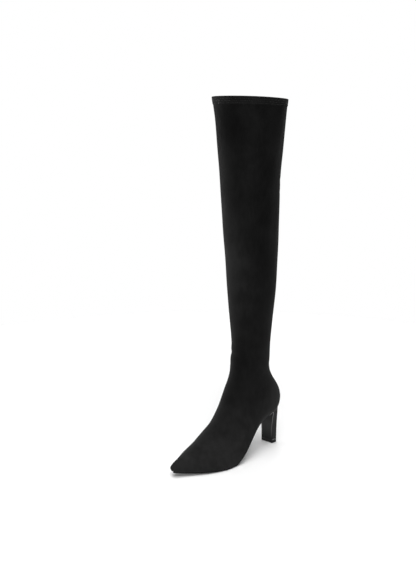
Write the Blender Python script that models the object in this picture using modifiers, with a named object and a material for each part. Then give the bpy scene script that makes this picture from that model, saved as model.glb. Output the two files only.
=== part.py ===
"""Over-the-knee boot for the left foot: stretch shaft, pointed toe and slim blade heel.

The toe points along -Y, the outer (lateral) side of the foot faces +X and the floor is z = 0.
A station is a distance along the foot, from the back of the heel seat to the tip of the toe.
The tables hold shares of the driving dimensions, one row for each section of the last.
"""
import bisect
import math
from collections import namedtuple

import bmesh
import bpy

# ---- Driving dimensions, in metres
LENGTH = 0.242              # heel seat to tip of the toe, along the floor
BALL_WIDTH = 0.075          # the unit of the widths across the foot
SEAT_HEIGHT = 0.0675        # underside of the sole at the back of the heel
INSTEP_HEIGHT = 0.1465      # where the vamp turns into the front of the shaft
BOOT_HEIGHT = 0.6151        # front of the collar
COLLAR_WIDTH = 0.1206
WALL = 0.0016               # suede and its lining together
HEM_HEIGHT = 0.012
HEM_STEP = 0.0006           # the hem is folded over, so it stands out from the shaft
SOLE_THICKNESS = 0.0022
SOLE_INSET = 0.0006         # how far the edge of the sole lies in under the upper
SOLE_BEVEL = 0.0006
INSOLE_THICKNESS = 0.002
INSOLE_INSET = 0.0030
INSOLE_BACK = 0.0035
INSOLE_FRONT = LENGTH - 0.009
TIP_HEIGHT = 0.006          # top of the heel tip, with the gap to the heel block
GAP = 0.0003                # between pieces that are glued or lasted together

# ---- Mesh density
HALF_RING = 16              # faces from the back seam (or sole edge) to the front crest
OUTLINE_STEPS = 48          # faces along each side of the sole
CORNER_STEPS = 4            # faces around each corner of the heel

# ---- Sole line: height of the underside as a share of SEAT_HEIGHT
SoleRow = namedtuple("SoleRow", "station height")
SOLE_LINE = [
    SoleRow(0.000, 1.000),
    SoleRow(0.083, 0.987),
    SoleRow(0.165, 0.945),
    SoleRow(0.248, 0.843),
    SoleRow(0.331, 0.659),
    SoleRow(0.413, 0.406),
    SoleRow(0.475, 0.187),
    SoleRow(0.525, 0.052),
    SoleRow(0.560, 0.000),
    SoleRow(0.635, 0.000),
    SoleRow(0.702, 0.014),
    SoleRow(0.785, 0.032),
    SoleRow(0.868, 0.053),
    SoleRow(0.942, 0.081),
    SoleRow(1.000, 0.116),
]

# ---- Outline of the sole: both edges as shares of BALL_WIDTH from the line through the heel
OutlineRow = namedtuple("OutlineRow", "station medial lateral")
OUTLINE = [
    OutlineRow(0.0000, 0.000, 0.000),
    OutlineRow(0.0125, -0.153, 0.151),
    OutlineRow(0.0410, -0.261, 0.261),
    OutlineRow(0.0910, -0.329, 0.331),
    OutlineRow(0.1650, -0.349, 0.358),
    OutlineRow(0.2900, -0.335, 0.379),
    OutlineRow(0.4000, -0.334, 0.417),
    OutlineRow(0.5040, -0.407, 0.458),
    OutlineRow(0.5870, -0.489, 0.463),
    OutlineRow(0.6490, -0.515, 0.458),
    OutlineRow(0.7110, -0.516, 0.418),
    OutlineRow(0.7730, -0.487, 0.343),
    OutlineRow(0.8350, -0.432, 0.233),
    OutlineRow(0.8970, -0.341, 0.105),
    OutlineRow(0.9460, -0.267, -0.010),
    OutlineRow(0.9830, -0.211, -0.092),
    OutlineRow(1.0000, -0.162, -0.162),
]

# ---- Foot sections: each starts at the sole edge and crosses the vamp.
# edge and front are shares of LENGTH, front_height of INSTEP_HEIGHT, half_width and lean of
# BALL_WIDTH. widest is how far up the section its widest place lies, and steps counts the
# rings drawn from this row to the next.
FootRow = namedtuple("FootRow", "edge front front_height half_width lean widest steps")
FOOT = [
    FootRow(0.998, 0.9980, 0.104, 0.047, -0.080, 0.00, 1),
    FootRow(0.988, 0.9880, 0.129, 0.087, -0.070, 0.00, 1),
    FootRow(0.959, 0.9590, 0.158, 0.134, -0.065, 0.00, 2),
    FootRow(0.897, 0.8970, 0.195, 0.231, -0.070, 0.00, 2),
    FootRow(0.814, 0.8140, 0.237, 0.364, -0.092, 0.00, 2),
    FootRow(0.731, 0.7310, 0.285, 0.447, -0.112, 0.00, 2),
    FootRow(0.649, 0.6490, 0.359, 0.504, -0.138, 0.00, 3),
    FootRow(0.541, 0.5780, 0.463, 0.492, -0.148, 0.05, 3),
    FootRow(0.438, 0.5170, 0.594, 0.480, -0.152, 0.10, 3),
    FootRow(0.335, 0.4690, 0.713, 0.472, -0.150, 0.18, 3),
    FootRow(0.231, 0.4380, 0.814, 0.469, -0.138, 0.25, 3),
    FootRow(0.132, 0.4223, 0.894, 0.467, -0.111, 0.32, 2),
    FootRow(0.054, 0.4149, 0.943, 0.465, -0.095, 0.37, 2),
    FootRow(0.012, 0.4103, 0.978, 0.464, -0.086, 0.40, 2),
    FootRow(0.000, 0.4076, 1.000, 0.463, -0.081, 0.42, 2),
]

# ---- Shaft sections: closed rings from the heel counter up to the collar.
# back and front are shares of LENGTH, both heights of BOOT_HEIGHT, and half_width, shift (at
# the back) and lean (from back to front) of COLLAR_WIDTH.
ShaftRow = namedtuple(
    "ShaftRow", "back_height back front_height front half_width shift lean widest steps")
SHAFT = [
    ShaftRow(0.1290, -0.0175, 0.2425, 0.4054, 0.287, -0.007, -0.040, 0.43, 2),
    ShaftRow(0.1450, -0.0228, 0.2480, 0.4029, 0.283, -0.015, -0.030, 0.44, 2),
    ShaftRow(0.1645, -0.0125, 0.2535, 0.4004, 0.277, -0.024, -0.021, 0.46, 2),
    ShaftRow(0.1870, 0.0205, 0.2610, 0.3975, 0.267, -0.033, -0.013, 0.47, 2),
    ShaftRow(0.2115, 0.0645, 0.2700, 0.3940, 0.255, -0.039, -0.008, 0.48, 2),
    ShaftRow(0.2390, 0.0902, 0.2820, 0.3899, 0.247, -0.042, -0.005, 0.49, 2),
    ShaftRow(0.2680, 0.0868, 0.2990, 0.3851, 0.250, -0.041, -0.002, 0.50, 2),
    ShaftRow(0.3025, 0.0885, 0.3220, 0.3810, 0.261, -0.040, 0.000, 0.50, 2),
    ShaftRow(0.3495, 0.0835, 0.3575, 0.3810, 0.280, -0.042, 0.000, 0.50, 2),
    ShaftRow(0.4210, 0.0665, 0.4240, 0.3910, 0.311, -0.047, 0.000, 0.50, 2),
    ShaftRow(0.5020, 0.0485, 0.5035, 0.4060, 0.338, -0.051, 0.000, 0.50, 2),
    ShaftRow(0.5835, 0.0400, 0.5850, 0.4230, 0.360, -0.054, 0.000, 0.50, 2),
    ShaftRow(0.6645, 0.0365, 0.6660, 0.4390, 0.377, -0.057, 0.000, 0.50, 2),
    ShaftRow(0.7455, 0.0350, 0.7475, 0.4540, 0.391, -0.060, 0.000, 0.50, 2),
    ShaftRow(0.8025, 0.0310, 0.8050, 0.4650, 0.405, -0.061, 0.000, 0.50, 2),
    ShaftRow(0.8595, 0.0185, 0.8625, 0.4760, 0.425, -0.063, 0.000, 0.50, 2),
    ShaftRow(0.9325, 0.0000, 0.9380, 0.4890, 0.461, -0.070, 0.000, 0.50, 2),
    ShaftRow(0.9905, -0.0150, 1.0000, 0.5020, 0.500, -0.082, 0.000, 0.50, 0),
]
FULLNESS = 2.2              # 2 makes an ellipse, more makes a squarer ring

# ---- Heel block sections, in metres; the last row follows the underside of the sole
HeelRow = namedtuple("HeelRow", "height back front half_width corner")
HEEL = [
    HeelRow(TIP_HEIGHT, 0.0029, 0.0147, 0.0129, 0.0008),
    HeelRow(0.0200, 0.0030, 0.0149, 0.0132, 0.0009),
    HeelRow(0.0380, 0.0030, 0.0154, 0.0139, 0.0013),
    HeelRow(0.0500, 0.0028, 0.0168, 0.0150, 0.0022),
    HeelRow(0.0580, 0.0024, 0.0202, 0.0163, 0.0040),
    HeelRow(None, 0.0020, 0.0260, 0.0178, 0.0070),
]


# ---- Curves
def smooth(knots, values, x):
    """Cubic curve through the knots, its slopes the parabola through three neighbours."""
    last = len(knots) - 1
    k = 0
    while k < last - 1 and x > knots[k + 1]:
        k += 1
    widths = [knots[i + 1] - knots[i] for i in range(last)]
    rises = [(values[i + 1] - values[i]) / widths[i] for i in range(last)]

    def slope(i):
        if 0 < i < last:
            total = widths[i] + widths[i - 1]
            return (widths[i] * rises[i - 1] + widths[i - 1] * rises[i]) / total
        inner = 1 if i == 0 else last - 1
        end = 0 if i == 0 else last - 1
        return 2 * rises[end] - slope(inner)

    u = min(max((x - knots[k]) / widths[k], 0.0), 1.0)
    h00 = 2 * u**3 - 3 * u**2 + 1
    h10 = u**3 - 2 * u**2 + u
    h01 = 3 * u**2 - 2 * u**3
    h11 = u**3 - u**2
    tangent_0 = widths[k] * slope(k)
    tangent_1 = widths[k] * slope(k + 1)
    return h00 * values[k] + h10 * tangent_0 + h01 * values[k + 1] + h11 * tangent_1


def turn(station):
    """Angle of a station on a half circle over the foot, so both ends close round."""
    return math.acos(min(max(1 - 2 * station / LENGTH, -1.0), 1.0))


def underside(station):
    """Height of the underside of the sole."""
    knots = [row.station * LENGTH for row in SOLE_LINE]
    heights = [row.height * SEAT_HEIGHT for row in SOLE_LINE]
    return max(smooth(knots, heights, min(max(station, 0.0), LENGTH)), 0.0)


def sole_stations():
    """Stations of the sole, which crowd towards heel and toe, where the outline turns."""
    shares = [(1 - math.cos(math.pi * i / OUTLINE_STEPS)) / 2 for i in range(OUTLINE_STEPS + 1)]
    return [SOLE_INSET + (LENGTH - 2 * SOLE_INSET) * share for share in shares]


def feather(station):
    """Height of the upper's lower edge, a gap above the sole's flats between its stations."""
    knots = sole_stations()
    at = min(max(station, knots[0]), knots[-1])
    k = min(bisect.bisect_right(knots, at), OUTLINE_STEPS) - 1
    share = (at - knots[k]) / (knots[k + 1] - knots[k])
    height = underside(knots[k]) * (1 - share) + underside(knots[k + 1]) * share
    return height + SOLE_THICKNESS + GAP


def outline(station):
    """Medial and lateral x of the sole's outline."""
    knots = [turn(row.station * LENGTH) for row in OUTLINE]
    at = turn(station)
    medial = smooth(knots, [row.medial * BALL_WIDTH for row in OUTLINE], at)
    lateral = smooth(knots, [row.lateral * BALL_WIDTH for row in OUTLINE], at)
    return medial, lateral


# ---- Rings of the upper
Section = namedtuple("Section", "back back_height front front_height half_width centre lean widest")


def foot_section(row):
    """A foot row in metres; its lower end is worked out from the sole where it is drawn."""
    return Section(row.edge * LENGTH, feather(row.edge * LENGTH), row.front * LENGTH,
                   row.front_height * INSTEP_HEIGHT, row.half_width * BALL_WIDTH, 0.0,
                   row.lean * BALL_WIDTH, row.widest)


def shaft_section(row):
    """A shaft row in metres."""
    return Section(row.back * LENGTH, row.back_height * BOOT_HEIGHT, row.front * LENGTH,
                   row.front_height * BOOT_HEIGHT, row.half_width * COLLAR_WIDTH,
                   row.shift * COLLAR_WIDTH, row.lean * COLLAR_WIDTH, row.widest)


def section_between(sections, position):
    """The section at a fractional row number."""
    rows = list(range(len(sections)))
    values = [smooth(rows, column, position) for column in zip(*sections)]
    return Section(*values)


def ring_points(section, on_sole):
    """Points of one ring from its medial end over the front to its lateral end.

    The ring lies in the plane through its back (or sole edge) and its front. On the foot it
    starts and ends on the sole's outline, and on the shaft both ends meet at the back seam.
    """
    low = section.back_height
    middle = section.centre
    reach = 0.0
    if on_sole:
        medial, lateral = outline(section.back)
        middle = section.centre + (medial + lateral) / 2
        reach = (lateral - medial) / 2
        low = feather(section.back)
    half = max(section.half_width, reach * 1.0005)
    start = math.asin(min(reach / half, 0.9998) ** (FULLNESS / 2))
    sides = []
    for side in (-1, 1):
        points = []
        for i in range(HALF_RING + 1):
            angle = start + (math.pi - start) * i / HALF_RING
            across = max(math.sin(angle), 0.0) ** (2 / FULLNESS)
            along = abs(math.cos(angle)) ** (2 / FULLNESS)
            if math.cos(angle) >= 0:
                share = section.widest * (1 - along / math.cos(start) ** (2 / FULLNESS))
            else:
                share = section.widest + (1 - section.widest) * along
            station = section.back + (section.front - section.back) * share
            height = low + (section.front_height - low) * share
            x = side * half * across + middle + section.lean * share
            points.append((x, -station, height))
        sides.append(points)
    medial_points, lateral_points = sides
    return medial_points + lateral_points[-2::-1]


def upper_rings():
    """All rings of the upper, toe first, with the folded hem as a step below the collar."""
    foot = [foot_section(row) for row in FOOT]
    shaft = [shaft_section(row) for row in SHAFT]
    sections = foot + shaft
    steps = [row.steps for row in FOOT] + [row.steps for row in SHAFT]
    positions = []
    for i, count in enumerate(steps):
        positions += [i + k / count for k in range(count)]
    last = len(sections) - 1
    slope_height = sections[last].back_height - sections[last - 1].back_height
    hem = last - HEM_HEIGHT / slope_height
    brink = HEM_STEP / slope_height
    positions = [p for p in positions if p < hem - brink or p > hem + brink]
    positions = sorted(positions + [hem, hem + brink, last])
    rings = []
    for position in positions:
        section = section_between(sections, position)
        if position > hem:
            section = section._replace(back=section.back - HEM_STEP, front=section.front + HEM_STEP,
                                       half_width=section.half_width + HEM_STEP)
        rings.append(ring_points(section, position < len(FOOT) - 0.999))
    return rings


# ---- Mesh helpers
def add_object(name, bm, material):
    """Put a finished bmesh into the scene as a named part."""
    bmesh.ops.recalc_face_normals(bm, faces=bm.faces)
    mesh = bpy.data.meshes.new(name)
    bm.to_mesh(mesh)
    bm.free()
    mesh.materials.append(material)
    part = bpy.data.objects.new(name, mesh)
    parts.objects.link(part)
    mesh.shade_smooth()
    mesh.set_sharp_from_angle(angle=math.radians(40))
    return part


def make_material(name, colour, roughness, coat=0.0):
    material = bpy.data.materials.new(name)
    material.use_nodes = True
    shader = material.node_tree.nodes["Principled BSDF"]
    shader.inputs["Base Color"].default_value = (*colour, 1.0)
    shader.inputs["Roughness"].default_value = roughness
    shader.inputs["Coat Weight"].default_value = coat
    return material


def bridge(bm, lower, upper):
    """Quads between two equally long rows of vertices; a doubled corner makes a triangle."""
    for i in range(len(lower) - 1):
        corners = [lower[i], lower[i + 1], upper[i + 1], upper[i]]
        corners = list(dict.fromkeys(corners))
        if len(corners) > 2:
            bm.faces.new(corners)


def bake(part):
    """Turn the part's modifiers into its mesh."""
    depsgraph = bpy.context.evaluated_depsgraph_get()
    mesh = bpy.data.meshes.new_from_object(part.evaluated_get(depsgraph))
    part.modifiers.clear()
    part.data = mesh


# ---- The parts
def make_upper():
    """One hollow wall from the sole's edge to the collar, lofted through the rings."""
    bm = bmesh.new()
    medial, lateral = outline(LENGTH)
    toe = bm.verts.new(((medial + lateral) / 2, -LENGTH, feather(LENGTH)))
    rows = [[toe] * (2 * HALF_RING + 1)]
    for points in upper_rings():
        closed = math.dist(points[0], points[-1]) < GAP
        row = [bm.verts.new(point) for point in (points[:-1] if closed else points)]
        rows.append(row + row[:1] if closed else row)
    for lower, higher in zip(rows, rows[1:]):
        bridge(bm, lower, higher)
    part = add_object("upper", bm, make_material("black_suede", (0.012, 0.012, 0.013), 0.9))
    wall = part.modifiers.new("wall", "SOLIDIFY")
    wall.thickness = WALL
    wall.offset = -1
    bake(part)
    for vertex in part.data.vertices:
        vertex.co.z = max(vertex.co.z, feather(-vertex.co.y))
    return part


def plate(bm, stations, grow, low, high):
    """A flat piece that follows the sole, from its outline grown by a margin."""
    loops = []
    for height in (low, high):
        sides = ([], [])
        for station in stations:
            edges = outline(station)
            for side, sign in enumerate((-1, 1)):
                x = edges[side] + sign * grow
                vertex = bm.verts.new((x, -station, underside(station) + height))
                sides[side].append(vertex)
        loops.append(sides)
    (low_medial, low_lateral), (high_medial, high_lateral) = loops
    bridge(bm, low_medial, low_lateral)
    bridge(bm, high_medial, high_lateral)
    bridge(bm, low_medial, high_medial)
    bridge(bm, low_lateral, high_lateral)
    bm.faces.new([low_medial[0], low_lateral[0], high_lateral[0], high_medial[0]])
    bm.faces.new([low_medial[-1], low_lateral[-1], high_lateral[-1], high_medial[-1]])


def make_outsole():
    bm = bmesh.new()
    plate(bm, sole_stations(), -SOLE_INSET, 0.0, SOLE_THICKNESS)
    part = add_object("outsole", bm, make_material("black_sole", (0.010, 0.010, 0.010), 0.55))
    edge = part.modifiers.new("edge", "BEVEL")
    edge.width = SOLE_BEVEL
    edge.segments = 1
    edge.limit_method = "ANGLE"
    edge.angle_limit = math.radians(60)
    return part


def make_insole():
    bm = bmesh.new()
    low = SOLE_THICKNESS + GAP
    stations = [station for station in sole_stations() if INSOLE_BACK < station < INSOLE_FRONT]
    plate(bm, stations, -INSOLE_INSET, low, low + INSOLE_THICKNESS)
    return add_object("insole", bm, make_material("black_lining", (0.020, 0.020, 0.020), 0.8))


def rounded_ring(back, front, half_width, corner):
    """Points of a rounded rectangle in plan, as x and station."""
    centres = [
        (half_width - corner, back + corner, -90),
        (half_width - corner, front - corner, 0),
        (corner - half_width, front - corner, 90),
        (corner - half_width, back + corner, 180),
    ]
    points = []
    for x, station, first in centres:
        for i in range(CORNER_STEPS + 1):
            angle = math.radians(first + 90 * i / CORNER_STEPS)
            points.append((x + corner * math.cos(angle), station + corner * math.sin(angle)))
    return points


def stack(bm, rings):
    """A closed loft through rings of equally many points, capped at both ends."""
    rows = [[bm.verts.new(point) for point in ring] for ring in rings]
    for lower, higher in zip(rows, rows[1:]):
        bridge(bm, lower + lower[:1], higher + higher[:1])
    bm.faces.new(rows[0])
    bm.faces.new(rows[-1])


def make_heel_block():
    """The blade heel: nearly straight below, flared forward where it meets the sole."""
    rings = []
    for row in HEEL:
        ring = []
        for x, station in rounded_ring(row.back, row.front, row.half_width, row.corner):
            height = underside(station) - GAP if row.height is None else row.height
            ring.append((x, -station, height))
        rings.append(ring)
    bm = bmesh.new()
    stack(bm, rings)
    return add_object("heel_block", bm, make_material("black_gloss", (0.008, 0.008, 0.008), 0.12, 1.0))


def make_heel_tip():
    """The hard wearing piece under the heel block."""
    foot = HEEL[0]
    plan = rounded_ring(foot.back, foot.front, foot.half_width, foot.corner)
    bm = bmesh.new()
    stack(bm, [[(x, -station, height) for x, station in plan] for height in (0.0, TIP_HEIGHT - GAP)])
    return add_object("heel_tip", bm, make_material("black_tip", (0.015, 0.015, 0.015), 0.4))


def centre_on_floor(made):
    """Move the whole boot so the middle of its footprint box is the origin."""
    bpy.context.view_layer.update()
    corners = [vertex.co for part in made for vertex in part.data.vertices]
    middle_x = (min(c.x for c in corners) + max(c.x for c in corners)) / 2
    middle_y = (min(c.y for c in corners) + max(c.y for c in corners)) / 2
    for part in made:
        for vertex in part.data.vertices:
            vertex.co.x -= middle_x
            vertex.co.y -= middle_y


for old in list(bpy.data.objects):
    bpy.data.objects.remove(old, do_unlink=True)
parts = bpy.data.collections.new("over_the_knee_boot")
bpy.context.scene.collection.children.link(parts)
centre_on_floor([make_upper(), make_outsole(), make_insole(), make_heel_block(), make_heel_tip()])
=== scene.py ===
"""Over-the-knee boot for the left foot: everything that shows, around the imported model.

The toe points along -Y, the outer side of the foot faces +X and the floor is z = 0.
A station is a distance along the foot, from the back of the heel seat to the tip of the toe.
"""
import math

import bpy
import numpy as np
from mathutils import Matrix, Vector


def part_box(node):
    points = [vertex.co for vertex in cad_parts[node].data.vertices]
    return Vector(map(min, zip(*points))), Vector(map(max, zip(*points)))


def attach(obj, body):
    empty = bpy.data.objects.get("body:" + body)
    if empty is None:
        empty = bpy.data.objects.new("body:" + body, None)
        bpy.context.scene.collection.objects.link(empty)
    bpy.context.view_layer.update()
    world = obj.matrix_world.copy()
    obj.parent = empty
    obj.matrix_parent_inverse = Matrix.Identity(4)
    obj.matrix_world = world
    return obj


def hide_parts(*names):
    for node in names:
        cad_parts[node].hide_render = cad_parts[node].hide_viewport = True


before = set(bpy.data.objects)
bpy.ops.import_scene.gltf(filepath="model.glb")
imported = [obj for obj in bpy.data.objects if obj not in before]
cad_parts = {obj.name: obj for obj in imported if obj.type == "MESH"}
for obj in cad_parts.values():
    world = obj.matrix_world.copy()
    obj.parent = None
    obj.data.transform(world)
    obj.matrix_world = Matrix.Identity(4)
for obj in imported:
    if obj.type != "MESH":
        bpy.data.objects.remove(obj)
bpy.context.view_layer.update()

# ---- Upper -------------------------------------------------------------------------------
# Stretch faux suede bonded to a thin knit, cut in one piece from toe to collar, lasted over the
# insole board, closed by one plain seam up the back and turned over at the collar.
LENGTH = 0.242
BALL_WIDTH = 0.075
SEAT_HEIGHT = 0.0675
INSTEP_HEIGHT = 0.1465
BOOT_HEIGHT = 0.6151
COLLAR_WIDTH = 0.1206
SOLE_THICKNESS = 0.0022
GAP = 0.0003
SUEDE = 0.00105             # thickness of the suede with its knit backing
HEM_HEIGHT = 0.012
HEM_STEP = 0.0006           # how far the turned hem stands out
FULLNESS = 2.2              # power of the superellipses: 2 is an ellipse
SEAM_CROWD = 0.16           # the columns crowd towards the back seam
SOLE_INSET = 0.0006         # how far the sole lies in under the upper
SEAT_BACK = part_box("outsole")[1][1] + SOLE_INSET
HEEL_LINE = (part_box("heel_tip")[0][0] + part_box("heel_tip")[1][0]) / 2

# Station and height of the underside, as shares of LENGTH and SEAT_HEIGHT.
SOLE_LINE = np.array([
    (0.000, 1.000), (0.083, 0.987), (0.165, 0.945), (0.248, 0.843), (0.331, 0.659),
    (0.413, 0.406), (0.475, 0.187), (0.525, 0.052), (0.560, 0.000), (0.635, 0.000),
    (0.702, 0.014), (0.785, 0.032), (0.868, 0.053), (0.942, 0.081), (1.000, 0.116),
])
# Station, medial edge and lateral edge, as shares of LENGTH and BALL_WIDTH.
OUTLINE = np.array([
    (0.0000, 0.000, 0.000), (0.0125, -0.153, 0.151), (0.0410, -0.261, 0.261),
    (0.0910, -0.329, 0.331), (0.1650, -0.349, 0.358), (0.2900, -0.335, 0.379),
    (0.4000, -0.334, 0.417), (0.5040, -0.407, 0.458), (0.5870, -0.489, 0.463),
    (0.6490, -0.515, 0.458), (0.7110, -0.516, 0.418), (0.7730, -0.487, 0.343),
    (0.8350, -0.432, 0.233), (0.8970, -0.341, 0.105), (0.9460, -0.267, -0.010),
    (0.9830, -0.211, -0.092), (1.0000, -0.162, -0.162),
])
# Rings that start at the sole's edge: edge, front, front height, half width, lean, widest.
FOOT = np.array([
    (0.998, 0.9980, 0.104, 0.047, -0.080, 0.00),
    (0.988, 0.9880, 0.129, 0.087, -0.070, 0.00),
    (0.959, 0.9590, 0.158, 0.134, -0.065, 0.00),
    (0.897, 0.8970, 0.195, 0.231, -0.070, 0.00),
    (0.814, 0.8140, 0.237, 0.364, -0.092, 0.00),
    (0.731, 0.7310, 0.285, 0.447, -0.112, 0.00),
    (0.649, 0.6490, 0.359, 0.504, -0.138, 0.00),
    (0.541, 0.5780, 0.463, 0.492, -0.148, 0.05),
    (0.438, 0.5170, 0.594, 0.480, -0.152, 0.10),
    (0.335, 0.4690, 0.713, 0.472, -0.150, 0.18),
    (0.231, 0.4380, 0.814, 0.469, -0.138, 0.25),
    (0.132, 0.4223, 0.894, 0.467, -0.111, 0.32),
    (0.054, 0.4149, 0.943, 0.465, -0.095, 0.37),
    (0.012, 0.4103, 0.978, 0.464, -0.086, 0.40),
    (0.000, 0.4076, 1.000, 0.463, -0.081, 0.42),
])
# Closed rings: back height, back, front height, front, half width, shift, lean, widest.
SHAFT = np.array([
    (0.1290, -0.0175, 0.2425, 0.4054, 0.287, -0.007, -0.040, 0.43),
    (0.1450, -0.0228, 0.2480, 0.4029, 0.283, -0.015, -0.030, 0.44),
    (0.1645, -0.0125, 0.2535, 0.4004, 0.277, -0.024, -0.021, 0.46),
    (0.1870, 0.0205, 0.2610, 0.3975, 0.267, -0.033, -0.013, 0.47),
    (0.2115, 0.0645, 0.2700, 0.3940, 0.255, -0.039, -0.008, 0.48),
    (0.2390, 0.0902, 0.2820, 0.3899, 0.247, -0.042, -0.005, 0.49),
    (0.2680, 0.0868, 0.2990, 0.3851, 0.250, -0.041, -0.002, 0.50),
    (0.3025, 0.0885, 0.3220, 0.3810, 0.261, -0.040, 0.000, 0.50),
    (0.3495, 0.0835, 0.3575, 0.3810, 0.280, -0.042, 0.000, 0.50),
    (0.4210, 0.0665, 0.4240, 0.3910, 0.311, -0.047, 0.000, 0.50),
    (0.5020, 0.0485, 0.5035, 0.4060, 0.338, -0.051, 0.000, 0.50),
    (0.5835, 0.0400, 0.5850, 0.4230, 0.360, -0.054, 0.000, 0.50),
    (0.6645, 0.0365, 0.6660, 0.4390, 0.377, -0.057, 0.000, 0.50),
    (0.7455, 0.0350, 0.7475, 0.4540, 0.391, -0.060, 0.000, 0.50),
    (0.8025, 0.0310, 0.8050, 0.4650, 0.405, -0.061, 0.000, 0.50),
    (0.8595, 0.0185, 0.8625, 0.4760, 0.425, -0.063, 0.000, 0.50),
    (0.9325, 0.0000, 0.9380, 0.4890, 0.461, -0.070, 0.000, 0.50),
    (0.9905, -0.0150, 1.0000, 0.5020, 0.500, -0.082, 0.000, 0.50),
])


def share_of(way, whole):
    """The way as a share of the whole, kept from 0 to 1."""
    return np.clip(way / whole, 0, 1)


def curve(knots, values, at, fair=False):
    """Cubic pieces through the knots: h00 y0 + h10 w m0 + h01 y1 + h11 w m1.

    Each slope m is that of the parabola through three neighbours, or, for a fair curve, the one
    that keeps the curvature equal on both sides of its knot.
    """
    knots = np.asarray(knots, float)
    values = np.asarray(values, float)
    flat = values.ndim == 1
    values = values.reshape(len(knots), -1)
    at = np.asarray(at, float)
    widths = np.diff(knots)[:, None]
    rises = np.diff(values, axis=0) / widths
    slopes = np.empty_like(values)
    slopes[1:-1] = (widths[1:] * rises[:-1] + widths[:-1] * rises[1:]) / (widths[1:] + widths[:-1])
    slopes[0] = 2 * rises[0] - slopes[1]
    slopes[-1] = 2 * rises[-1] - slopes[-2]
    if fair:
        n = len(knots)
        inner = np.arange(1, n - 1)
        system = np.eye(n)
        system[inner, inner - 1] = 1 / widths[:-1, 0]
        system[inner, inner] = 2 * (1 / widths[:-1, 0] + 1 / widths[1:, 0])
        system[inner, inner + 1] = 1 / widths[1:, 0]
        wanted = slopes.copy()
        wanted[1:-1] = 3 * (rises[:-1] / widths[:-1] + rises[1:] / widths[1:])
        slopes = np.linalg.solve(system, wanted)
    k = np.clip(np.searchsorted(knots, at) - 1, 0, len(widths) - 1)
    width = widths[k, 0][..., None]
    u = share_of((at - knots[k])[..., None], width)
    result = ((2 * u**3 - 3 * u**2 + 1) * values[k] + (u**3 - 2 * u**2 + u) * width * slopes[k]
              + (3 * u**2 - 2 * u**3) * values[k + 1] + (u**3 - u**2) * width * slopes[k + 1])
    return result[..., 0] if flat else result


def underside(station):
    """Height of the sole's underside: the curve through SOLE_LINE, never below the floor."""
    share = share_of(station, LENGTH)
    return np.maximum(curve(SOLE_LINE[:, 0], SOLE_LINE[:, 1], share), 0) * SEAT_HEIGHT


def outline(station):
    """Medial and lateral x of the sole: curves over the angle acos(1 - 2 share), so that both
    ends close round."""
    share = share_of(station, LENGTH)
    edges = curve(np.arccos(1 - 2 * OUTLINE[:, 0]), OUTLINE[:, 1:], np.arccos(1 - 2 * share))
    return edges[..., 0] * BALL_WIDTH, edges[..., 1] * BALL_WIDTH


def row_frame(x, station, height):
    """Points of the last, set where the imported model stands."""
    return np.stack(np.broadcast_arrays(x + HEEL_LINE, SEAT_BACK - station, height), axis=-1)


def feather(station):
    """Height of the upper's lower edge, just above the sole."""
    return underside(station) + SOLE_THICKNESS + GAP


FOOT_ROWS = len(FOOT) - 1
LAST_ROW = len(FOOT) + len(SHAFT) - 1
foot_sections = np.stack([
    FOOT[:, 0] * LENGTH, feather(FOOT[:, 0] * LENGTH), FOOT[:, 1] * LENGTH,
    FOOT[:, 2] * INSTEP_HEIGHT, FOOT[:, 3] * BALL_WIDTH, 0 * FOOT[:, 0],
    FOOT[:, 4] * BALL_WIDTH, FOOT[:, 5]], axis=-1)
shaft_sections = np.stack([
    SHAFT[:, 1] * LENGTH, SHAFT[:, 0] * BOOT_HEIGHT, SHAFT[:, 3] * LENGTH,
    SHAFT[:, 2] * BOOT_HEIGHT, SHAFT[:, 4] * COLLAR_WIDTH, SHAFT[:, 5] * COLLAR_WIDTH,
    SHAFT[:, 6] * COLLAR_WIDTH, SHAFT[:, 7]], axis=-1)
SECTIONS = np.concatenate([foot_sections, shaft_sections])


def upper_surface(row, around):
    """Point of the upper's skin, for a row number (toe 0, collar last) and a share around the leg.

    around runs from -1 at the medial end of a ring over 0 at its front to 1 at its lateral end.
    Each ring is a superellipse in the plane through its back and its front, with
    x = half sin(a)^(2/n) and a share |cos(a)|^(2/n) of the way to its back or front. On the foot
    the angle a starts where the ring is as wide as the sole.
    """
    row = np.asarray(row, float)[:, None]
    around = np.asarray(around, float)[None, :]
    section = curve(np.arange(len(SECTIONS)), SECTIONS, row[:, 0], fair=True)[:, None, :]
    back, low, front, high, half, centre, lean, widest = np.moveaxis(section, -1, 0)
    on_sole = row < FOOT_ROWS
    medial, lateral = outline(back)
    centre = centre + np.where(on_sole, (medial + lateral) / 2, 0)
    reach = np.where(on_sole, (lateral - medial) / 2, 0)
    low = np.where(on_sole, feather(back), low)
    # a ring is always a hair wider than the sole under it, so its angle starts short of 90 degrees
    half = np.maximum(half, reach * 1.0005)
    start = np.arcsin(np.minimum(reach / half, 0.9998) ** (FULLNESS / 2))
    turn = 1 - np.abs(around)
    crowded = SEAM_CROWD * turn + (1 - SEAM_CROWD) * turn**1.5
    angle = start + (np.pi - start) * crowded
    across = np.maximum(np.sin(angle), 0) ** (2 / FULLNESS)
    along = np.abs(np.cos(angle)) ** (2 / FULLNESS)
    share = np.where(np.cos(angle) >= 0, widest * (1 - along / np.cos(start) ** (2 / FULLNESS)),
                     widest + (1 - widest) * along)
    station = back + (front - back) * share
    height = low + (high - low) * share
    x = np.sign(around) * half * across + centre + lean * share
    return row_frame(x, station, np.maximum(height, feather(station)))


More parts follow.
